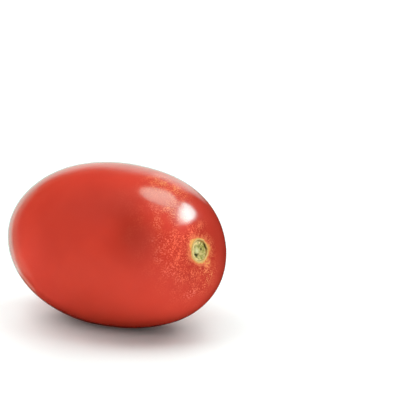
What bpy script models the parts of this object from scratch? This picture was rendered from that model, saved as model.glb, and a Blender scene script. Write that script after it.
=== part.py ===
"""A ripe plum tomato, as picked, lying on its side: one solid fruit with its corky stem scar.

The fruit is a sphere whose rings are moved to the plum shape, with the stem end at +X.
It rests on a small flat spot at z = 0, with the middle of its box over the origin.
Run it with blender --background --python part.py, or from the text editor.
"""

from math import asin, atan2, acos, cos, exp, hypot, pi, radians, sin

import bmesh
import bpy
from mathutils import Matrix, Vector

# Driving dimensions of the fruit, in metres.
HALF_LENGTH = 0.0371
RADIUS = 0.02556
DIMPLE_DEPTH = 0.0025
DIMPLE_RADIUS = 0.0068
TIP_HEIGHT = 0.0004
TIP_RADIUS = 0.0014
BEND_UP = 0.00285
BEND_SIDE = -0.00103
FLAT_DEPTH = 0.00045
PITCH = radians(2.4)

# How the outline differs from an ellipse, as shares of the radius.
STEM_HALF_WIDER = 0.0325
SHOULDER_FULLNESS = 0.209
SHOULDER_UPPER_SIDE = -0.009
SHOULDER_LEFT_SIDE = 0.036

# Relief of the stem scar: distance from its middle, and height above the hollow's floor.
SCAR_RELIEF = (
    (0.00050, 0.00026),  # shoulder of the nub
    (0.00090, 0.00000),  # foot of the nub
    (0.00190, -0.00004),
    (0.00265, 0.00006),  # edge of the corky disc
    (0.00300, -0.00048),  # bottom of the crevice
    (0.00335, 0.00016),  # inner edge of the rim
    (0.00375, 0.00014),  # outer edge of the rim
    (0.00430, 0.00000),
)
NUB_TOP = 0.00034

# How finely the sphere is divided.
SEGMENTS = 64
BODY_RINGS = 44
RING_CROWDING = 0.5

RED = (0.62, 0.045, 0.022, 1.0)
CORK = (0.50, 0.40, 0.13, 1.0)


def angle_at_radius(radius):
    """Polar angle, from the stem's pole, of the ring at a small distance from the scar's middle."""
    return asin(radius / (RADIUS * (1 + STEM_HALF_WIDER + SHOULDER_FULLNESS)))


def ring_angles():
    """Polar angle of every ring: the scar's own, then the body's, which crowd towards both ends."""
    scar = [0.0] + [angle_at_radius(radius) for radius, _ in SCAR_RELIEF]
    first = scar[-1]
    body = []
    for k in range(1, BODY_RINGS + 1):
        s = k / BODY_RINGS
        s -= RING_CROWDING * sin(2 * pi * s) / (2 * pi)
        body.append(first + (pi - first) * s)
    return scar + body


def plum_point(polar, around, relief):
    """The point of the fruit's skin at a polar angle from the stem and an angle round the long axis.

    The radius is that of an ellipse times 1 + e u + f u^2, where u runs from 1 at the stem to -1,
    e widens the stem half and f fills out the shoulders only. The stem end sinks by a bell curve,
    the blossom end stands out by a narrower one, and the stem half then bends by a cubic.
    """
    u = cos(polar)
    towards_stem = 0.5 + 0.75 * u - 0.25 * u**3
    fullness = SHOULDER_FULLNESS + SHOULDER_UPPER_SIDE * sin(around) + SHOULDER_LEFT_SIDE * cos(around)
    r = RADIUS * sin(polar) * (1 + STEM_HALF_WIDER * u + fullness * towards_stem * u * u)
    x = HALF_LENGTH * u
    if u > 0:
        x += relief - DIMPLE_DEPTH * exp(-((r / DIMPLE_RADIUS) ** 2))
    else:
        x -= TIP_HEIGHT * exp(-((r / TIP_RADIUS) ** 2))
    y = r * cos(around)
    z = r * sin(around)
    share = max(x, 0.0) / HALF_LENGTH
    lean = 3 * share**2 / HALF_LENGTH
    return Vector(
        (
            x - lean * (BEND_SIDE * y + BEND_UP * z),
            y + BEND_SIDE * share**3,
            z + BEND_UP * share**3,
        )
    )


def make_material(name, colour, roughness):
    material = bpy.data.materials.new(name)
    material.use_nodes = True
    shader = material.node_tree.nodes["Principled BSDF"]
    shader.inputs["Base Color"].default_value = colour
    shader.inputs["Roughness"].default_value = roughness
    shader.inputs["Metallic"].default_value = 0.0
    return material


def make_fruit(collection):
    """Moves the rings of a sphere to the plum's shape and stands it over the origin."""
    angles = ring_angles()
    rings = len(angles) - 1
    reliefs = [NUB_TOP] + [height for _, height in SCAR_RELIEF] + [0.0] * BODY_RINGS
    shape = bmesh.new()
    bmesh.ops.create_uvsphere(shape, u_segments=SEGMENTS, v_segments=rings, radius=1.0)
    tilt = Matrix.Rotation(-PITCH, 3, "Y")
    for vertex in shape.verts:
        ring = round(acos(max(-1.0, min(1.0, vertex.co.z))) / pi * rings)
        around = atan2(vertex.co.y, vertex.co.x) if hypot(vertex.co.x, vertex.co.y) > 1e-6 else 0.0
        vertex.co = tilt @ plum_point(angles[ring], around, reliefs[ring])
    low = Vector(min(v.co[i] for v in shape.verts) for i in range(3))
    high = Vector(max(v.co[i] for v in shape.verts) for i in range(3))
    rest = Vector(((low.x + high.x) / 2, (low.y + high.y) / 2, low.z + FLAT_DEPTH))
    bmesh.ops.translate(shape, vec=-rest, verts=shape.verts)
    bmesh.ops.recalc_face_normals(shape, faces=shape.faces)

    # The faces within the scar's rim are cork, and the rest is skin.
    stem = tilt @ plum_point(0.0, 0.0, 0.0) - rest
    rim = SCAR_RELIEF[-2][0]
    for face in shape.faces:
        face.material_index = int((face.calc_center_median() - stem).length < rim)

    mesh = bpy.data.meshes.new("tomato")
    shape.to_mesh(mesh)
    shape.free()
    mesh.materials.append(make_material("ripe skin", RED, 0.22))
    mesh.materials.append(make_material("stem scar", CORK, 0.75))
    mesh.shade_smooth()
    mesh.set_sharp_from_angle(angle=radians(35))
    fruit = bpy.data.objects.new("tomato", mesh)
    collection.objects.link(fruit)
    return fruit


def cut_flat_spot(fruit, collection):
    """Takes off what would be below z = 0, which leaves the small flat spot to rest on."""
    size = RADIUS * 2
    shape = bmesh.new()
    bmesh.ops.create_cube(shape, size=size, matrix=Matrix.Translation((0.0, 0.0, -size / 2)))
    mesh = bpy.data.meshes.new("flat_spot_cutter")
    shape.to_mesh(mesh)
    shape.free()
    cutter = bpy.data.objects.new("flat_spot_cutter", mesh)
    cutter.hide_render = True
    cutter.display_type = "WIRE"
    collection.objects.link(cutter)
    cut = fruit.modifiers.new("flat spot", "BOOLEAN")
    cut.operation = "DIFFERENCE"
    cut.solver = "EXACT"
    cut.object = cutter


def main():
    for old in list(bpy.data.objects):
        bpy.data.objects.remove(old)
    parts = bpy.data.collections.new("plum_tomato")
    cutters = bpy.data.collections.new("cutters")
    for collection in (parts, cutters):
        bpy.context.scene.collection.children.link(collection)
    fruit = make_fruit(parts)
    cut_flat_spot(fruit, cutters)


main()
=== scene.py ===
"""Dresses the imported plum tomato: its skin with the stem scar, a pale floor, soft light and a camera."""

import math

import bpy
import numpy as np
from bpy.props import FloatProperty, FloatVectorProperty, IntProperty, PointerProperty
from mathutils import Matrix, Vector


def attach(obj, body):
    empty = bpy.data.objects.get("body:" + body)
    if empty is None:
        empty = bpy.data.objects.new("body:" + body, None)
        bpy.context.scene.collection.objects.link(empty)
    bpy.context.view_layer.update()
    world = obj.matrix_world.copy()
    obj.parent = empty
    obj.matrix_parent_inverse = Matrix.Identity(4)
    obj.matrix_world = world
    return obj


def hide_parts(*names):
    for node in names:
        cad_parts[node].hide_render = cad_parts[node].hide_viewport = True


bl_info = {
    "name": "Plum Tomato",
    "version": (1, 0, 0),
    "blender": (4, 5, 0),
    "location": "3D View > Sidebar > Plum Tomato",
    "description": "Builds a ripe plum tomato on its side, with its stem scar, and a small studio round it",
    "category": "Add Mesh",
}

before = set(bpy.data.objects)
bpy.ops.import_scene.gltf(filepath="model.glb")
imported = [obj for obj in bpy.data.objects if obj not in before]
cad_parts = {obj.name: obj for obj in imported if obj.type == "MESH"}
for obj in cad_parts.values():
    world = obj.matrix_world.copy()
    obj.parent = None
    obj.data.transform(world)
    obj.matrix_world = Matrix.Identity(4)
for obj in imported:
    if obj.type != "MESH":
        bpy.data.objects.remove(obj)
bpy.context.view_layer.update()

MM = 0.001
FRUIT_NODE = "tomato"

# How far the cork goes on past the top of the scar's rim.
CORK_PAST_RIM = 0.40 * MM

# Broad patches painted into the skin's colour: middle and width in millimetres, and how much lighter the skin
# is there.
# Most of them are painted light and shade, and the rest is the skin's own uneven ripeness.
PAINTED_LIGHT_AND_RIPENESS_PATCHES = (
    (23.0, -17.5, 37.5, 8.5, -0.38),
    (4.0, -14.0, 45.0, 16.0, -0.12),
    (-3.0, -11.0, 48.0, 9.0, 0.09),
    (12.0, -8.0, 50.0, 9.0, 0.16),
    (-15.0, -23.0, 23.0, 10.0, 0.28),
    (-7.0, -20.5, 11.0, 6.0, 0.17),
    (30.0, -14.0, 18.0, 13.0, 0.20),
    (35.0, -2.0, 14.0, 10.0, 0.20),
    (33.0, -11.0, 31.0, 9.0, 0.12),
    (30.0, -12.0, 40.0, 6.0, 0.12),
    (16.0, -16.0, 8.0, 11.0, -0.11),
    (-16.0, 8.0, 44.0, 12.0, -0.10),
    (22.0, 1.0, 47.5, 8.0, 0.18),
    (13.5, -15.0, 44.8, 7.0, -0.11),
    (33.2, -6.5, 34.5, 4.5, 0.16),
    (33.4, -11.0, 30.5, 5.0, 0.05),
    (27.0, -17.0, 31.0, 6.0, -0.08),
    (16.8, -20.8, 36.9, 4.0, 0.08),
    (7.4, -22.0, 12.9, 5.0, -0.08),
    (34.0, -9.0, 15.9, 5.0, 0.04),
    (25.0, -11.5, 42.5, 5.5, 0.14),
    (31.0, 4.0, 39.0, 5.0, 0.14),
    (37.3, 3.7, 19.0, 6.0, 0.09),
    (36.5, 5.0, 28.0, 5.0, -0.08),
    (29.5, -6.5, 40.5, 5.0, 0.16),
    (33.3, -3.0, 36.2, 3.5, 0.26),
    (26.0, 0.3, 45.6, 4.0, 0.20),
    (36.9, -0.9, 22.3, 3.0, 0.09),
    (-23.0, -18.0, 32.0, 6.0, 0.16),
    (-19.5, -21.0, 20.0, 6.0, 0.12),
    (-15.0, -19.0, 12.5, 5.0, 0.15),
    (-24.5, -7.5, 41.5, 6.0, -0.13),
    (-18.0, -4.0, 45.5, 6.0, -0.13),
)

# Patches of flecks on the upper side: middle and width in millimetres.
UPPER_FLECKS = (
    (20.5, -1.5, 48.0, 4.5),
    (25.5, 0.0, 45.8, 4.0),
)

# Pits on the corky disc: place to the right of and above the stem's pole and width, all in millimetres,
# and how deep each is against the others.
SCAR_PITS = (
    (1.00, 0.40, 0.34, 1.1),
    (0.50, 1.50, 0.34, 0.7),
    (-1.60, 1.55, 0.30, 0.5),
    (-1.75, -1.50, 0.34, 0.6),
    (1.10, -1.90, 0.34, 0.4),
)

# Square softboxes: name, turn from the camera's heading and angle over the floor in degrees, and radiance.
SOFTBOXES = (
    ("overhead_softbox", 0, 88, 1.15),
    ("left_softbox", -90, 60, 2.0),
    ("low_left_softbox", -100, 20, 0.9),
    ("right_softbox", 90, 60, 2.0),
    ("front_softbox", 180, 25, 2.5),
    ("back_softbox", 0, 20, 4.1),
)
SOFTBOX_SIDE = 1.10
SOFTBOX_DISTANCE = 1.3

# Oval lamps for the highlights: name, then turn from the camera's heading, angle over the floor and roll
# in degrees, then distance, width and height in metres, and then radiance and tint.
HIGHLIGHTS = (
    ("long_highlight", 59, 67, 40, 1.3, 0.98, 0.68, 7.3, (0.50, 1.0, 0.87)),
    ("round_highlight", 78.5, 34.5, 10, 1.3, 0.62, 0.48, 17.0, (0.48, 1.0, 1.0)),
    ("round_highlight_edge", 88.5, 36.5, 0, 1.3, 0.59, 0.47, 7.0, (0.48, 1.0, 0.93)),
    ("round_highlight_foot", 85, 24, 0, 1.3, 0.32, 0.20, 8.0, (0.48, 1.0, 1.0)),
    ("rim_highlight_end", 19, 19.5, 60, 1.6, 0.85, 0.62, 0.62, (0.58, 1.0, 0.95)),
    ("rim_highlight_left", -43, -9, -62, 1.6, 1.55, 0.60, 0.30, (0.90, 1.0, 0.80)),
    ("rim_highlight_low", -31, -28, 20, 1.6, 0.36, 0.28, 0.50, (0.80, 1.0, 0.80)),
    ("rim_highlight_glow", -9, 7, -43, 1.6, 4.10, 1.60, 0.16, (1.0, 0.85, 0.60)),
    ("rim_highlight_wide", -4.5, 8.5, -43, 1.6, 3.35, 1.24, 0.34, (0.58, 1.0, 0.95)),
    ("rim_highlight_middle", -4.5, 7.5, -43, 1.6, 3.25, 1.02, 0.34, (0.58, 1.0, 0.95)),
    ("rim_highlight_narrow", -6, 4.5, -43, 1.6, 3.30, 0.84, 0.36, (0.58, 1.0, 0.95)),
)
WHITE = (1.0, 1.0, 1.0)

# Height of the point that every lamp faces.
LAMP_TARGET_HEIGHT = 0.025

FLOOR_SIDES = 96

# Width of the camera's sensor in millimetres, which the focal length goes with.
SENSOR_WIDTH = 36.0


def length(name, description, default):
    """A size in metres, shown in the scene's units."""
    return FloatProperty(name=name, description=description, default=default, unit="LENGTH", precision=5)


def share(name, description, default):
    """A plain number, such as a share or a strength."""
    return FloatProperty(name=name, description=description, default=default, precision=3)


def angle(name, description, default):
    """An angle, given here in degrees."""
    return FloatProperty(name=name, description=description, default=math.radians(default), subtype="ANGLE")


def colour(name, description, default):
    """A linear colour."""
    return FloatVectorProperty(name=name, description=description, default=default, subtype="COLOR", size=3)


class FruitShape(bpy.types.PropertyGroup):
    """The plum shape, which is the solid's own, and how finely it is meshed."""

    half_length: length("Half length", "From the middle to either end, before the stem end sinks", 0.0371)
    radius: length("Radius", "Across the middle", 0.02556)
    stem_half_wider: share("Stem half wider", "Extra width of the stem half, a share of the radius", 0.0325)
    shoulder_fullness: share("Shoulder fullness", "How full the shoulders are, a share of the radius", 0.209)
    shoulder_upper_side: share("Upper shoulder", "Extra fullness on the upper side", -0.009)
    shoulder_left_side: share("Left shoulder", "Extra fullness on the side towards +Y", 0.036)
    dimple_depth: length("Hollow depth", "How far the stem end sinks", 0.0025)
    dimple_radius: length("Hollow radius", "Half width of the hollow at the stem end", 0.0068)
    tip_height: length("Tip height", "How far the point at the blossom end stands out", 0.0004)
    tip_radius: length("Tip radius", "Half width of that point", 0.0014)
    bend_up: length("Bend up", "How far the stem end bends up", 0.00285)
    bend_side: length("Bend sideways", "How far the stem end bends towards +Y", -0.00103)
    pitch: angle("Pitch", "How far the stem end is raised as the fruit lies", 2.4)
    flat_depth: length("Flat spot depth", "How much of the underside is pressed flat", 0.00045)
    inset: length("Inset", "How far the skin stays inside the plain plum shape", 0.00003)
    dent: length("Dents", "Depth of the soft unevenness of the skin", 0.00009)
    segments: IntProperty(name="Segments", description="Faces round the long axis", default=352)
    rings: IntProperty(name="Rings", description="Rings from the stem to the blossom end", default=264)


class StemScar(bpy.types.PropertyGroup):
    """The corky scar where the stalk came off."""

    disc_radius: length("Disc radius", "Radius of the corky disc", 0.00275)
    rim_radius: length("Rim radius", "Radius of the raised rim round it", 0.00332)
    rim_height: length("Rim height", "Height of the rim", 0.00018)
    crevice_depth: length("Crevice depth", "Depth of the gap between disc and rim", 0.00050)
    nub_height: length("Nub height", "Height of the nub on the disc", 0.00034)
    nub_radius: length("Nub radius", "Radius of that nub", 0.00082)
    cork_light: colour("Cork, light", "Cream of the ridges", (0.88, 0.69, 0.31))
    cork_rim: colour("Cork, rim", "Gold of the rim", (0.74, 0.48, 0.15))
    cork_green: colour("Cork, green", "Pale green between the ridges", (0.29, 0.285, 0.050))
    cork_nub: colour("Nub", "Whitish green of the nub", (0.72, 0.69, 0.36))
    cork_brown: colour("Cork, brown", "Brown at the sides of the crevice", (0.30, 0.143, 0.025))
    # Partly painted shade: this colour also darkens the hollows of the crevice, the groove and the pits.
    cork_dark_and_shade: colour("Crevice", "Dark olive in the crevice and the pits", (0.050, 0.032, 0.002))


class SkinFinish(bpy.types.PropertyGroup):
    """Colours and gloss of the ripe skin."""

    red: colour("Ripe red", "Main colour of the skin", (0.525, 0.0425, 0.0245))
    warm_red: colour("Warm red", "Where the skin is more orange", (0.575, 0.0495, 0.0275))
    fleck: colour("Flecks", "Fine pink to orange flecks near the stem", (0.84, 0.165, 0.080))
    pit: colour("Deep red", "Darker red between those flecks", (0.39, 0.025, 0.013))
    gold: colour("Golden flecks", "Flecks on the upper side and next to the scar", (0.74, 0.29, 0.10))
    halo: colour("Halo", "Yellow round the stem scar", (0.79, 0.39, 0.100))
    glow: colour("Glow", "Orange between that yellow and the red", (0.74, 0.17, 0.071))
    tip: colour("Tip", "Tan dot at the blossom end", (0.30, 0.13, 0.042))
    roughness: share("Roughness", "Roughness of the skin", 0.15)
    flesh_glow: share("Flesh glow", "How much light goes through the skin and comes out again", 0.15)
    flesh_depth: length("Flesh depth", "How far that light spreads", 0.0025)


class Studio(bpy.types.PropertyGroup):
    """Camera, floor and light."""

    azimuth: angle("Azimuth", "Camera's direction round the fruit, where 0 looks along +Y", 36.4)
    elevation: angle("Elevation", "Camera's height over the floor, as an angle", 15.0)
    distance: length("Distance", "From the camera to the point it looks at", 0.6842)
    lens: FloatProperty(name="Lens", description="Focal length", default=198.0, unit="CAMERA")
    aim_right: length("Aim right", "The view's middle, to the right of the fruit's own middle", 0.02747)
    aim_up: length("Aim up", "The view's middle, above the fruit's own middle", 0.01357)
    floor_radius: length("Floor radius", "Radius of the round floor", 4.0)
    floor_colour: colour("Floor colour", "Plain pale floor", (0.90, 0.97, 0.955))
    backdrop: share("Backdrop", "How bright the room looks behind the floor", 1.0)


def smooth_step(low, high, value):
    """Rises from 0 at low to 1 at high along 3t^2 - 2t^3."""
    t = np.clip((value - low) / (high - low), 0.0, 1.0)
    return t * t * (3.0 - 2.0 * t)


def bell(distance, width):
    """Bell curve exp(-(distance / width)^2)."""
    return np.exp(-((distance / width) ** 2))


def waves(points, wavelength, seed, count=24):
    """Smooth unevenness, mostly from -1 to 1.

    Plane waves with seeded directions and phases are summed and divided by the root of their count.
    """
    draw = np.random.default_rng(seed)
    direction = draw.normal(size=(3, count))
    direction *= 2 * np.pi / wavelength / np.linalg.norm(direction, axis=0)
    phase = draw.uniform(0, 2 * np.pi, count)
    return np.cos(points @ direction + phase).sum(-1) / math.sqrt(count)


def polar_angles(shape):
    """Polar angle of each ring from the stem (0) to the blossom end (pi).

    The step between rings is fine over the scar, then grows smoothly to the body's coarse step.
    """
    fine_step = 0.075
    scar_ends, body_starts = 0.26, 0.52
    place = np.linspace(0.0, 1.0, shape.rings)
    step = fine_step + (1 - fine_step) * smooth_step(scar_ends, body_starts, place)
    return np.concatenate([[0.0], np.cumsum(step)]) * (np.pi / step.sum())


def plum_grid(shape):
    """Polar angles as a column and angles round the long axis as a row, which together make the grid."""
    around = np.linspace(0.0, 2 * np.pi, shape.segments, endpoint=False)
    return polar_angles(shape)[:, None], around[None, :]


def plum_point(shape, polar, around, relief):
    """The plum's surface at a polar angle from the stem and an angle round the long axis.

    The radius is an ellipse's times 1 + e u + f w u^2, where u is the cosine of the polar angle, e widens
    the stem half, f fills out the shoulders, and w = 0.5 + 0.75 u - 0.25 u^3 fades that out to the
    blossom end. The stem end sinks by a bell curve and carries the scar's relief, the blossom end
    stands out by a narrower bell, the stem half bends by a cubic, and the whole fruit is then tilted
    by its pitch.
    """
    u = np.cos(polar)
    towards_stem = 0.5 + 0.75 * u - 0.25 * u**3
    fullness = (
        shape.shoulder_fullness
        + shape.shoulder_upper_side * np.sin(around)
        + shape.shoulder_left_side * np.cos(around)
    )
    r = shape.radius * np.sin(polar) * (1 + shape.stem_half_wider * u + fullness * towards_stem * u * u)
    sunk = relief - shape.dimple_depth * bell(r, shape.dimple_radius)
    x = shape.half_length * u + np.where(u > 0, sunk, -shape.tip_height * bell(r, shape.tip_radius))
    y = r * np.cos(around)
    z = r * np.sin(around)
    part = np.maximum(x, 0.0) / shape.half_length
    lean = 3 * part**2 / shape.half_length
    bent_x = x - lean * (shape.bend_side * y + shape.bend_up * z)
    bent_y = y + shape.bend_side * part**3
    bent_z = z + shape.bend_up * part**3
    c, s = math.cos(shape.pitch), math.sin(shape.pitch)
    return np.stack([c * bent_x - s * bent_z, bent_y, s * bent_x + c * bent_z], -1)


def shift_to_floor(shape):
    """The shift that puts the smooth plum where the solid is: over the origin, its flat spot at z = 0."""
    smooth = plum_point(shape, *plum_grid(shape), 0.0).reshape(-1, 3)
    low, high = smooth.min(0), smooth.max(0)
    return np.array([-(low[0] + high[0]) / 2, -(low[1] + high[1]) / 2, -low[2] - shape.flat_depth])


def radius_from_axis(shape, polar):
    """Distance from the long axis of a point near the stem, without the shoulders' unevenness."""
    u = np.cos(polar)
    return shape.radius * np.sin(polar) * (1 + shape.stem_half_wider * u + shape.shoulder_fullness * u * u)


def turned(turn, degrees, width):
    """Bell curve of a turn in radians about a direction, whose angle and width are in degrees."""
    off = np.angle(np.exp(1j * (turn - math.radians(degrees))))
    return bell(off, math.radians(width))


def patch(points, x, y, z, width):
    """Bell curve of the distance to a place on the fruit, which is given in millimetres."""
    return bell(np.linalg.norm(points - np.array([x, y, z]) * MM, axis=-1), width * MM)


def vectors(x, y, z):
    """Joins three grids, which may be a row, a column or one number, to a grid of vectors."""
    return np.stack(np.broadcast_arrays(x, y, z), -1)


def scar_fields(scar, p, q):
    """Relief and colour masks of the stem scar at p to the right and q up from the stem's pole.

    Most terms are bell curves or smooth steps of r, the distance from the scar's middle. The disc is a
    plate with low lumps, and its edge is a thin ridge. Round it runs a crevice, deep at the right, and
    then the rim, a low round ridge. The disc has a nub with a groove under it and some pits. The scar's
    middle is a little to the left of the pole and above it, the scar has a lobe at its lower left, and
    a few waves make its edges uneven.
    """
    flat = vectors(p, q, 0.0)
    middle_p, middle_q = p + 0.20 * MM, q - 0.22 * MM
    turn = np.arctan2(middle_q, middle_p)
    lobe = 0.07 * turned(turn, -155, 42) + 0.015 * np.cos(5 * turn + 2.0)
    r = np.hypot(middle_p, middle_q) * (1 - lobe) + 0.05 * MM * waves(flat, 1.3 * MM, seed=15)
    left_side = turned(turn, -170, 70)
    right_side = turned(turn, 13, 19)

    # Relief.
    on_disc = 1 - smooth_step(scar.disc_radius - 0.15 * MM, scar.disc_radius + 0.10 * MM, r)
    lumps = 0.06 * MM * waves(flat, 1.6 * MM, seed=11) + 0.025 * MM * waves(flat, 0.6 * MM, seed=12)
    disc_sinks = 0.08 * MM
    ridge = 0.10 * MM * bell(r - scar.disc_radius + 0.20 * MM, 0.18 * MM)
    rim = scar.rim_height * bell(r - scar.rim_radius, 0.28 * MM) * (1 + 0.35 * waves(flat, 1.8 * MM, seed=13))
    between = 0.5 * (scar.disc_radius + scar.rim_radius)
    crevice = bell(r - between + 0.06 * MM, 0.19 * MM)
    crevice_share = 0.10 + 0.90 * right_side + 0.10 * turned(turn, 65, 30)
    nub = bell(np.hypot(p + 1.15 * MM, q - 0.35 * MM), scar.nub_radius)
    groove_p, groove_q = p + 1.10 * MM, q - 0.35 * MM
    groove = bell(np.hypot(groove_p, groove_q) - 1.30 * MM, 0.36 * MM)
    groove = groove * turned(np.arctan2(groove_q, groove_p), -112, 38)
    pits = on_disc * sum(
        share_of_depth * bell(np.hypot(p - x * MM, q - y * MM), width * MM)
        for x, y, width, share_of_depth in SCAR_PITS
    )
    groove_depth, pit_depth = 0.30 * MM, 0.16 * MM
    raised = on_disc * (lumps - disc_sinks) + ridge + rim + nub * scar.nub_height
    sunk = crevice * crevice_share * scar.crevice_depth + groove * groove_depth + pits * pit_depth

    # Colour masks.
    light = (0.4 + left_side) * bell(r - scar.disc_radius, (0.14 + 0.26 * left_side) * MM)
    light = light + 0.45 * waves(flat, 1.1 * MM, seed=14)
    light = light + 0.8 * turned(turn, 95, 38) * smooth_step(1.3 * MM, 2.3 * MM, r)
    crevice_sides = bell(r - between + 0.10 * MM, 0.30 * MM)
    rim_foot = bell(r - scar.rim_radius - 0.20 * MM, 0.30 * MM)
    brown = crevice_sides * (0.75 * turned(turn, 58, 42) + 0.9 * turned(turn, -12, 28))
    brown = brown + crevice * (0.4 - 0.3 * left_side) + rim_foot * 0.40 * turned(turn, 170, 50)
    rim_starts, rim_is_full = scar.disc_radius + 0.05 * MM, scar.rim_radius - 0.20 * MM
    masks = {
        # The crevice at the right, the groove and the pits: partly the cork's own dark colour, partly painted
        # shade in those hollows.
        "scar_dark_and_shade": np.clip(crevice * right_side * 1.6 + groove * 1.5 + pits, 0, 1),
        "scar_brown": np.clip(brown, 0, 0.85),
        "scar_light": np.clip(light, 0, 1),
        "scar_nub": np.clip(nub * 1.3, 0, 1),
        "scar_rim": smooth_step(rim_starts, rim_is_full, r - 0.20 * MM * left_side),
        "scar_outer": smooth_step(scar.rim_radius, scar.rim_radius + CORK_PAST_RIM, r),
        "scar_cream": np.clip(0.85 * turned(turn, -150, 48) + 0.45 * turned(turn, 100, 28), 0, 1),
        "scar_edge": r,
    }
    return raised - sunk, masks


def closed_grid(points):
    """Vertices, quads and end triangles of a grid of rings whose first and last rings are single points.

    Vertex 0 is the first pole, the last vertex is the other pole, and the rings between are closed.
    """
    rings, segments = points.shape[0] - 2, points.shape[1]
    place = 1 + np.arange(rings * segments).reshape(rings, segments)
    right = np.roll(place, -1, axis=1)
    quads = np.stack([place[:-1], place[1:], right[1:], right[:-1]], -1).reshape(-1, 4)
    last = 1 + rings * segments
    first_fan = np.stack([np.zeros(segments, int), place[0], right[0]], -1)
    last_fan = np.stack([place[-1], np.full(segments, last), right[-1]], -1)
    vertices = np.concatenate([points[0, :1], points[1:-1].reshape(-1, 3), points[-1, :1]])
    return vertices, quads, np.concatenate([first_fan, last_fan])


def mesh_from_faces(name, vertices, quads, triangles):
    """A mesh with these vertices, four-sided faces and three-sided faces, all shaded smooth."""
    mesh = bpy.data.meshes.new(name)
    loops = np.concatenate([quads.ravel(), triangles.ravel()])
    sizes = np.concatenate([np.full(len(quads), 4), np.full(len(triangles), 3)])
    mesh.vertices.add(len(vertices))
    mesh.vertices.foreach_set("co", vertices.astype(np.float32).ravel())
    mesh.loops.add(len(loops))
    mesh.loops.foreach_set("vertex_index", loops.astype(np.int32))
    mesh.polygons.add(len(sizes))
    mesh.polygons.foreach_set("loop_start", np.concatenate([[0], np.cumsum(sizes)[:-1]]).astype(np.int32))
    mesh.update(calc_edges=True)
    mesh.validate()
    mesh.shade_smooth()
    return mesh


def grid_normals(points):
    """Outward unit normals of the grid, from the cross product of its steps along and round the fruit.

    On the two end rings, where the steps round the fruit vanish, it is the mean normal of the next ring.
    """
    along = np.gradient(points, axis=0)
    across = np.roll(points, -1, axis=1) - np.roll(points, 1, axis=1)
    normal = np.cross(along, across)
    size = np.linalg.norm(normal, axis=-1, keepdims=True)
    smallest = 1e-15
    normal = normal / np.maximum(size, smallest)
    for pole, ring in ((0, 1), (-1, -2)):
        middle = normal[ring].mean(0)
        normal[pole] = middle / np.linalg.norm(middle)
    return normal


def add_mask(mesh, name, grid):
    """Keeps a grid of numbers on the mesh's points, in the order that closed_grid puts them."""
    values = np.concatenate([grid[0, :1], grid[1:-1].ravel(), grid[-1, :1]])
    mask = mesh.attributes.new(name, "FLOAT", "POINT")
    mask.data.foreach_set("value", values.astype(np.float32))


def add_vector(mesh, name, grid):
    """Keeps a grid of vectors on the mesh's points, in the same order."""
    values = np.concatenate([grid[0, :1], grid[1:-1].reshape(-1, 3), grid[-1, :1]])
    layer = mesh.attributes.new(name, "FLOAT_VECTOR", "POINT")
    layer.data.foreach_set("vector", values.astype(np.float32).ravel())


class Nodes:
    """Short ways to add and join the nodes of one material."""

    def __init__(self, name):
        self.material = bpy.data.materials.new(name)
        self.material.use_nodes = True
        self.tree = self.material.node_tree
        self.shader = self.tree.nodes["Principled BSDF"]
        self.place = self.add("ShaderNodeTexCoord").outputs["Object"]

    def add(self, kind, settings=None, **inputs):
        """A node of one kind, with its settings and its inputs, each a value or another node's output."""
        node = self.tree.nodes.new(kind)
        for key, value in (settings or {}).items():
            setattr(node, key, value)
        for key, value in inputs.items():
            self.set(node.inputs[key.replace("_", " ")], value)
        return node

    def set(self, socket, value):
        """Links a socket to another node's output, or gives it a plain value."""
        if isinstance(value, bpy.types.NodeSocket):
            self.tree.links.new(value, socket)
        else:
            socket.default_value = value

    def mask(self, name):
        """A mask kept on the mesh's points."""
        return self.add("ShaderNodeAttribute", {"attribute_name": name}).outputs["Fac"]

    def vector(self, name):
        """A vector kept on the mesh's points."""
        return self.add("ShaderNodeAttribute", {"attribute_name": name}).outputs["Vector"]

    def noise(self, size, detail=2.0, roughness=0.5, place=None):
        """Cloudy noise whose blobs are about size across, from 0 to 1."""
        node = self.add("ShaderNodeTexNoise", Vector=place or self.place, Scale=1.0 / size)
        self.set(node.inputs["Detail"], detail)
        self.set(node.inputs["Roughness"], roughness)
        return node.outputs["Fac"]

    def dots(self, spacing, cover, place, low, high):
        """Soft dots of many sizes, one at most in each cell about spacing across.

        Cover is the share of the cells that have one. A dot's edge fades between low, outside its
        radius, and high, inside it, both as shares of a cell.
        """
        smallest, more = 0.12, 0.22
        flat = {"voronoi_dimensions": "2D"}
        cells = self.add("ShaderNodeTexVoronoi", flat, Vector=place, Scale=1.0 / spacing)
        chance = self.add("ShaderNodeSeparateColor", Color=cells.outputs["Color"])
        radius = self.math("ADD", self.math("MULTIPLY", chance.outputs[1], more), smallest)
        dot = self.ramp(self.math("SUBTRACT", radius, cells.outputs["Distance"]), low, high)
        return self.math("MULTIPLY", dot, self.math("LESS_THAN", chance.outputs[0], cover))

    def math(self, operation, a, b):
        """One step of arithmetic on two numbers."""
        node = self.tree.nodes.new("ShaderNodeMath")
        node.operation = operation
        self.set(node.inputs[0], a)
        self.set(node.inputs[1], b)
        return node.outputs[0]

    def ramp(self, value, low, high, start=0.0, end=1.0):
        """Goes smoothly from start at low to end at high."""
        node = self.tree.nodes.new("ShaderNodeMapRange")
        node.interpolation_type = "SMOOTHSTEP"
        for place, number in enumerate((value, low, high, start, end)):
            self.set(node.inputs[place], number)
        return node.outputs[0]

    def mix(self, share_of_b, a, b):
        """Goes from colour a to colour b. The node's colours are its inputs 6 and 7 and its output 2."""
        node = self.tree.nodes.new("ShaderNodeMix")
        node.data_type = "RGBA"
        self.set(node.inputs[0], share_of_b)
        self.set(node.inputs[6], a)
        self.set(node.inputs[7], b)
        return node.outputs[2]


def rgba(value):
    """A colour with full opacity, as the nodes take it."""
    return (*value, 1.0)


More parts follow.
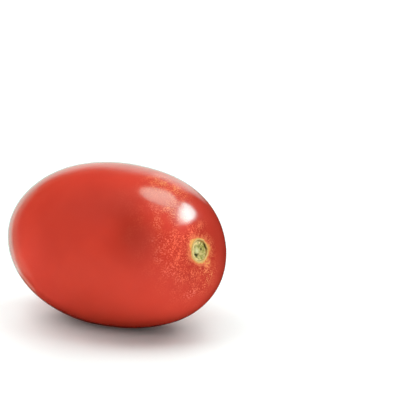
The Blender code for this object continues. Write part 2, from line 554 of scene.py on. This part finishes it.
def skin_material(finish):
    """Ripe skin with a waxy gloss: two close reds in soft clouds, fine flecks, and a yellow halo at the scar.

    The flecks are fine noise with darker red between. Some stronger ones among them and the pores in
    the gloss are dots on the "flow" coordinates, which stretch away from the stem, so each is a short
    dash that points at the scar. The flecks away from the scar are duller than the skin. The halo and
    the glow round it have ragged edges, from noise on the "rays" coordinates.
    """
    n = Nodes("ripe_skin")
    speckle = n.mask("speckle")
    flow = n.vector("flow")
    base = n.mix(n.ramp(n.noise(24 * MM, detail=3.0), 0.36, 0.66), rgba(finish.red), rgba(finish.warm_red))

    clusters = n.math("MULTIPLY", n.math("SUBTRACT", n.noise(2.4 * MM, detail=1.0), 0.5), 0.4)
    grain = n.math("ADD", n.noise(0.42 * MM), clusters)
    light = n.ramp(grain, 0.47, 0.66, end=0.95)
    dark = n.ramp(grain, 0.50, 0.32, end=0.65)
    strong = n.dots(0.60 * MM, n.math("MULTIPLY", speckle, 0.4), flow, -0.08, 0.16)
    strong = n.math("MULTIPLY", strong, n.ramp(speckle, 0.10, 0.45, end=0.75))
    fleck_tint = n.mix(n.mask("gold"), rgba(finish.fleck), rgba(finish.gold))
    flecks = n.math("MAXIMUM", n.math("MULTIPLY", light, speckle), strong)
    base = n.mix(n.math("MULTIPLY", dark, speckle), base, rgba(finish.pit))
    base = n.mix(flecks, base, fleck_tint)

    rays = n.noise(0.16, roughness=0.6, place=n.vector("rays"))
    ragged = n.math("ADD", n.math("MULTIPLY", n.math("SUBTRACT", rays, 0.5), 2.4), 1.0)
    for mask, low, high, tint in (("glow", 0.10, 1.0, finish.glow), ("halo", 0.22, 0.75, finish.halo)):
        base = n.mix(n.ramp(n.math("MULTIPLY", n.mask(mask), ragged), low, high), base, rgba(tint))
    base = n.mix(n.mask("tip"), base, rgba(finish.tip))

    # The base colour is multiplied here by the painted light and shade of the patches and of the underside.
    base_with_painted_light = n.add("ShaderNodeVectorMath", {"operation": "MULTIPLY"})
    n.set(base_with_painted_light.inputs[0], base)
    n.set(base_with_painted_light.inputs[1], n.vector("painted_light_and_tone"))
    n.set(n.shader.inputs["Base Color"], base_with_painted_light.outputs[0])
    dull_flecks = n.math("MULTIPLY", n.math("MULTIPLY", light, n.mask("pores")), 0.45)
    dull = n.math("ADD", n.math("MULTIPLY", speckle, 0.05), dull_flecks)
    n.set(n.shader.inputs["Roughness"], n.math("ADD", dull, finish.roughness))
    n.shader.inputs["Specular IOR Level"].default_value = 0.42
    n.shader.inputs["Subsurface Weight"].default_value = finish.flesh_glow
    n.shader.inputs["Subsurface Radius"].default_value = (1.0, 0.25, 0.12)
    n.shader.inputs["Subsurface Scale"].default_value = finish.flesh_depth
    pores = n.dots(0.62 * MM, n.math("MULTIPLY", n.mask("pores"), 2.2), flow, -0.06, 0.22)
    bump = n.add("ShaderNodeBump", Height=pores, Strength=1.0, Distance=0.014 * MM)
    n.set(n.shader.inputs["Normal"], bump.outputs[0])
    return n.material


def cork_material(scar, finish):
    """Dry cork of the stem scar: cream ridges on pale green, a whitish nub, a gold rim and dark gaps.

    The rim is cream in places, and its outer side turns into the colour of the halo. The dark gaps are
    partly the cork's own dark colour and partly painted shade in those hollows.
    """
    n = Nodes("stem_scar_cork")
    light_patches = n.ramp(n.noise(0.9 * MM, detail=3.0, roughness=0.65), 0.42, 0.60, end=0.60)
    light = n.math("MAXIMUM", n.mask("scar_light"), light_patches)
    base = n.mix(light, rgba(scar.cork_green), rgba(scar.cork_light))
    base = n.mix(n.mask("scar_nub"), base, rgba(scar.cork_nub))
    cream_patches = n.ramp(n.noise(0.7 * MM), 0.46, 0.62, end=0.6)
    cream = n.math("MAXIMUM", n.mask("scar_cream"), cream_patches)
    rim = n.mix(cream, rgba(scar.cork_rim), rgba(scar.cork_light))
    base = n.mix(n.mask("scar_rim"), base, rim)
    base = n.mix(n.mask("scar_outer"), base, rgba(finish.halo))
    base = n.mix(n.mask("scar_brown"), base, rgba(scar.cork_brown))
    # Darkens the hollows: partly the cork's own colour, partly painted shade.
    base = n.mix(n.mask("scar_dark_and_shade"), base, rgba(scar.cork_dark_and_shade))
    n.set(n.shader.inputs["Base Color"], base)
    n.shader.inputs["Roughness"].default_value = 0.7
    n.shader.inputs["Specular IOR Level"].default_value = 0.12
    crumbs = n.noise(0.25 * MM, detail=3.0, roughness=0.6)
    bump = n.add("ShaderNodeBump", Height=crumbs, Strength=0.5, Distance=0.08 * MM)
    n.set(n.shader.inputs["Normal"], bump.outputs[0])
    return n.material


class TOMATO_OT_fruit(bpy.types.Operator):
    """Builds the whole fruit as one closed skin, with the stem scar's relief in it"""

    bl_idname = "plum_tomato.fruit"
    bl_label = "Build the fruit"
    bl_options = {"REGISTER", "UNDO"}

    def execute(self, context):
        shape, scar, finish = context.scene.tomato_shape, context.scene.tomato_scar, context.scene.tomato_skin
        polar, around = plum_grid(shape)
        far_from_stem = 1.0
        near_stem = np.where(polar < np.pi / 2, radius_from_axis(shape, polar), far_from_stem)
        p, q = near_stem * np.cos(around), near_stem * np.sin(around)
        relief, scar_masks = scar_fields(scar, p, q)
        relief_fades, relief_ends = 4.2 * MM, 6.5 * MM
        relief = relief * (1 - smooth_step(relief_fades, relief_ends, near_stem))
        points = plum_point(shape, polar, around, relief) + shift_to_floor(shape)
        dents = np.clip(0.5 + 0.5 * waves(points, 14 * MM, seed=3), 0, 1)
        dents = shape.inset + shape.dent * dents
        points -= grid_normals(points) * dents[..., None]
        points[..., 2] = self.pressed_flat(points[..., 2])
        mesh = mesh_from_faces("plum_tomato", *closed_grid(points))
        masks = {
            **self.fleck_masks(around, p, q, points),
            **self.halo_masks(p, q, points, scar_masks["scar_edge"] - scar.rim_radius),
            **self.tip_mask(polar, around),
            **scar_masks,
        }
        for name, grid in masks.items():
            add_mask(mesh, name, grid)
        self.add_coordinates(mesh, around, points)
        self.add_painted_light_and_tone(mesh, points)
        mesh.materials.append(skin_material(finish))
        mesh.materials.append(cork_material(scar, finish))
        self.give_cork(mesh, scar)
        fruit = bpy.data.objects.new("plum_tomato", mesh)
        context.scene.collection.objects.link(fruit)
        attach(fruit, "root")
        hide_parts(FRUIT_NODE)
        return {"FINISHED"}

    def pressed_flat(self, z):
        """Heights with what is below the floor pressed up to it, along (z + sqrt(z^2 + knee^2)) / 2."""
        knee = 0.12 * MM
        return 0.5 * (z + np.sqrt(z * z + knee * knee))

    def fleck_masks(self, around, p, q, points):
        """Where the skin is flecked, where its gloss is pored, and where the flecks are golden, from 0 to 1.

        The flecks fade with the distance from the stem, over a reach that is longest at the upper left.
        They lie in patches, leave the upper right nearly bare, and come again in patches on the upper
        side. The pores stay clear of the scar and of that upper side. The golden flecks are those on
        the upper side, next to the scar, below it, and far out at the upper left.
        """
        near = np.hypot(p, q)
        reach = 14.5 + 6.0 * np.cos(around - math.radians(135)) - 1.5 * np.cos(2 * around)
        reach = (reach + 2.5 * turned(around, -105, 35)) * MM
        patchy = 0.70 + 0.35 * waves(points, 5 * MM, seed=5)
        off = np.abs(np.angle(np.exp(1j * (around - math.radians(40)))))
        bare = smooth_step(math.radians(78), math.radians(50), off) * smooth_step(7 * MM, 10 * MM, near)
        bare = np.maximum(bare, turned(around, 28, 43) * smooth_step(4.5 * MM, 7 * MM, near))
        speckle = smooth_step(1.3, 0.3, near / reach) * patchy * (1 - 0.92 * bare)
        pores = speckle * smooth_step(10.5 * MM, 13.5 * MM, near)
        upper = np.maximum.reduce([patch(points, *place) for place in UPPER_FLECKS])
        gold = upper + 0.6 * bell(near, 6 * MM) + bell(np.hypot(p - 2 * MM, q + 9 * MM), 3.5 * MM)
        gold = gold + 0.9 * turned(around, 118, 20) * bell(near - 14.5 * MM, 3.5 * MM)
        return {
            "speckle": np.clip(speckle + 0.85 * upper, 0, 1),
            "pores": np.clip(pores, 0, 1),
            "gold": np.clip(gold, 0, 1),
        }

    def halo_masks(self, p, q, points, past_rim):
        """The yellow halo outside the scar's rim, and the orange glow outside the halo.

        Each falls along a smooth step of the distance past the rim, and some waves make it uneven. It
        reaches further at some sides, each a bell curve of the direction. A splash at the lower right
        belongs to the glow and faintly to the halo.
        """
        edge = past_rim / MM
        turn = np.arctan2(q, p)
        halo_end = 0.65 + 2.2 * turned(turn, 135, 20) + 1.8 * turned(turn, 4, 20)
        halo_end = halo_end + 0.4 * turned(turn, -160, 35)
        halo = 1 - smooth_step(0.2, halo_end, edge + 0.12 * waves(points, 1.2 * MM, seed=7))
        glow_end = 1.8 + 2.4 * turned(turn, 140, 42) + 1.2 * turned(turn, 8, 35)
        glow_end = glow_end + 0.8 * turned(turn, -170, 35)
        glow = 1 - smooth_step(0.2, glow_end, edge + 0.25 * waves(points, 1.6 * MM, seed=6))
        splash = turned(turn, -64, 20) * smooth_step(6.6 * MM, 4.2 * MM, np.hypot(p, q))
        splash = splash * (1.5 + 0.5 * waves(points, 0.8 * MM, seed=16))
        return {
            "halo": np.clip(np.maximum(halo, 0.36 * splash), 0, 1),
            "glow": np.clip(np.maximum(glow, splash), 0, 1),
        }

    def tip_mask(self, polar, around):
        """The dot at the blossom end, where the sine of the polar angle is small."""
        from_tip = np.where(polar > np.pi / 2, np.sin(polar), 1.0)
        tip = 0.8 * (1 - smooth_step(0.02, 0.05, from_tip))
        return {"tip": tip + 0 * around}

    def add_coordinates(self, mesh, around, points):
        """Adds "flow", which lays the skin out flat round the stem, and "rays", for the halo's ragged edge.

        Flow is the direction round the axis times a distance that grows as the 0.7th power of the way
        from the stem along the skin. Rays holds that direction and the way itself, in steps of 5 mm.
        """
        steps = np.linalg.norm(np.diff(points, axis=0), axis=-1).mean(1)
        from_stem = np.concatenate([[0.0], np.cumsum(steps)])[:, None]
        spread = from_stem * (8 * MM / np.maximum(from_stem, 0.5 * MM)) ** 0.3
        add_vector(mesh, "flow", vectors(spread * np.cos(around), spread * np.sin(around), 0.0))
        add_vector(mesh, "rays", vectors(np.cos(around), np.sin(around), from_stem / (5 * MM)))

    def add_painted_light_and_tone(self, mesh, points):
        """Adds "tone", how light the skin is in red, green and blue, about 1.

        It has broad soft patches, each a bell curve, which are mostly painted light and shade and partly the
        skin's own uneven ripeness, and a painted shade that darkens the underside. Green and blue are powers
        of red, so a darker place is also a deeper red.
        """
        # Painted shade: up to 2 mm over the floor the skin is painted 0.74 as light, and it comes back to
        # full at 12 mm.
        underside = 0.74
        red = 1.0 + 0.04 * waves(points, 34 * MM, seed=8)
        for x, y, z, width, amount in PAINTED_LIGHT_AND_RIPENESS_PATCHES:
            red = red + amount * patch(points, x, y, z, width)
        red = red * (underside + (1 - underside) * smooth_step(2 * MM, 12 * MM, points[..., 2]))
        add_vector(mesh, "painted_light_and_tone", vectors(red, red**1.2, red**1.45))

    def give_cork(self, mesh, scar):
        """Faces inside the rim, and a little past it, take the second material."""
        edge = np.empty(len(mesh.vertices), np.float32)
        mesh.attributes["scar_edge"].data.foreach_get("value", edge)
        first = np.empty(len(mesh.polygons), np.int32)
        corner = np.empty(len(mesh.loops), np.int32)
        mesh.polygons.foreach_get("loop_start", first)
        mesh.loops.foreach_get("vertex_index", corner)
        inside = edge[corner[first]] < scar.rim_radius + CORK_PAST_RIM
        mesh.polygons.foreach_set("material_index", inside.astype(np.int32))


class TOMATO_OT_studio(bpy.types.Operator):
    """Adds the floor, the backdrop, the lamps and the camera"""

    bl_idname = "plum_tomato.studio"
    bl_label = "Build the studio"
    bl_options = {"REGISTER", "UNDO"}

    def execute(self, context):
        scene, studio, shape = context.scene, context.scene.tomato_studio, context.scene.tomato_shape
        self.add_floor(scene, studio)
        self.add_backdrop(scene, studio)
        self.add_lamps(scene, studio)
        self.add_camera(scene, studio, shape)
        scene.view_settings.view_transform = "Standard"
        scene.view_settings.look = "None"
        return {"FINISHED"}

    def add_floor(self, scene, studio):
        """A pale round floor, which is one flat face and doesn't show in the gloss."""
        turn = np.linspace(0, 2 * np.pi, FLOOR_SIDES, endpoint=False)
        rim = studio.floor_radius * vectors(np.cos(turn), np.sin(turn), 0.0)
        mesh = bpy.data.meshes.new("floor")
        mesh.from_pydata(rim.tolist(), [], [list(range(len(rim)))])
        n = Nodes("pale_floor")
        darkest = 0.99
        cloud_size = 0.4
        shaded = [darkest * part for part in studio.floor_colour]
        tint = n.mix(n.noise(cloud_size), rgba(studio.floor_colour), rgba(shaded))
        n.set(n.shader.inputs["Base Color"], tint)
        n.shader.inputs["Roughness"].default_value = 0.9
        n.shader.inputs["Specular IOR Level"].default_value = 0.1
        mesh.materials.append(n.material)
        floor = bpy.data.objects.new("floor", mesh)
        floor.visible_glossy = False
        scene.collection.objects.link(floor)

    def add_backdrop(self, scene, studio):
        """A white room that only the camera sees, so the lamps alone light the fruit."""
        world = bpy.data.worlds.new("room")
        world.use_nodes = True
        background = world.node_tree.nodes["Background"]
        background.inputs["Color"].default_value = rgba(WHITE)
        background.inputs["Strength"].default_value = studio.backdrop
        scene.world = world
        world.cycles_visibility.diffuse = False
        world.cycles_visibility.glossy = False

    def add_lamps(self, scene, studio):
        """Softboxes, which give soft light and no highlight, and oval lamps, which give highlights alone."""
        for name, turn, height, radiance in SOFTBOXES:
            place = self.lamp_place(studio, turn, height, 0, SOFTBOX_DISTANCE)
            box = self.add_lamp(scene, name, "RECTANGLE", place, SOFTBOX_SIDE, SOFTBOX_SIDE, radiance, WHITE)
            box.visible_glossy = False
        for name, turn, height, roll, distance, width, tall, radiance, tint in HIGHLIGHTS:
            place = self.lamp_place(studio, turn, height, roll, distance)
            oval = self.add_lamp(scene, name, "ELLIPSE", place, width, tall, radiance, tint)
            oval.visible_diffuse = False

    def lamp_place(self, studio, turn, height, roll, distance):
        """A lamp's place and turn, from its direction as the camera sees it, with its face to the fruit."""
        a = math.radians(turn) - studio.azimuth
        e = math.radians(height)
        direction = Vector((math.sin(a) * math.cos(e), math.cos(a) * math.cos(e), math.sin(e)))
        facing = direction.to_track_quat("Z", "Y").to_matrix() @ Matrix.Rotation(math.radians(roll), 3, "Z")
        place = Vector((0.0, 0.0, LAMP_TARGET_HEIGHT)) + direction * distance
        return Matrix.Translation(place) @ facing.to_4x4()

    def add_lamp(self, scene, name, outline, place, width, tall, radiance, tint):
        """A flat lamp that the camera doesn't see. Its power is its radiance times pi times its area."""
        lamp = bpy.data.lights.new(name, "AREA")
        lamp.shape = outline
        lamp.color = tint
        lamp.size = width
        lamp.size_y = tall
        filled = math.pi / 4 if outline == "ELLIPSE" else 1.0
        lamp.energy = radiance * math.pi * width * tall * filled
        holder = bpy.data.objects.new(name, lamp)
        holder.matrix_world = place
        holder.visible_camera = False
        scene.collection.objects.link(holder)
        return holder

    def add_camera(self, scene, studio, shape):
        """The camera looks along its azimuth and elevation at a point beside the fruit's own middle."""
        a = studio.azimuth
        e = studio.elevation
        right = Vector((math.cos(a), math.sin(a), 0.0))
        back = Vector((math.sin(a) * math.cos(e), -math.cos(a) * math.cos(e), math.sin(e)))
        up = back.cross(right)
        aim = Vector(shift_to_floor(shape)) + right * studio.aim_right + up * studio.aim_up
        place = aim + back * studio.distance
        camera = bpy.data.cameras.new("camera")
        camera.lens = studio.lens
        camera.sensor_width = SENSOR_WIDTH
        camera.clip_start = 0.01
        camera.clip_end = 50.0
        holder = bpy.data.objects.new("camera", camera)
        holder.matrix_world = Matrix.Translation(place) @ Matrix((right, up, back)).transposed().to_4x4()
        scene.collection.objects.link(holder)
        scene.camera = holder


class TOMATO_PT_panel(bpy.types.Panel):
    """Lists the fruit's and the studio's settings in the sidebar"""

    bl_idname = "TOMATO_PT_panel"
    bl_label = "Plum Tomato"
    bl_space_type = "VIEW_3D"
    bl_region_type = "UI"
    bl_category = "Plum Tomato"

    def draw(self, context):
        for operator, group in (
            (TOMATO_OT_fruit, "tomato_shape"),
            (None, "tomato_scar"),
            (None, "tomato_skin"),
            (TOMATO_OT_studio, "tomato_studio"),
        ):
            box = self.layout.box()
            settings = getattr(context.scene, group)
            for key in settings.__annotations__:
                box.prop(settings, key)
            if operator:
                box.operator(operator.bl_idname)


GROUPS = {
    "tomato_shape": FruitShape,
    "tomato_scar": StemScar,
    "tomato_skin": SkinFinish,
    "tomato_studio": Studio,
}
CLASSES = (*GROUPS.values(), TOMATO_OT_fruit, TOMATO_OT_studio, TOMATO_PT_panel)


def register():
    for item in CLASSES:
        bpy.utils.register_class(item)
    for name, group in GROUPS.items():
        setattr(bpy.types.Scene, name, PointerProperty(type=group))


def unregister():
    for name in GROUPS:
        delattr(bpy.types.Scene, name)
    for item in reversed(CLASSES):
        bpy.utils.unregister_class(item)


def main():
    register()
    bpy.ops.plum_tomato.fruit()
    bpy.ops.plum_tomato.studio()


if __name__ == "__main__":
    main()
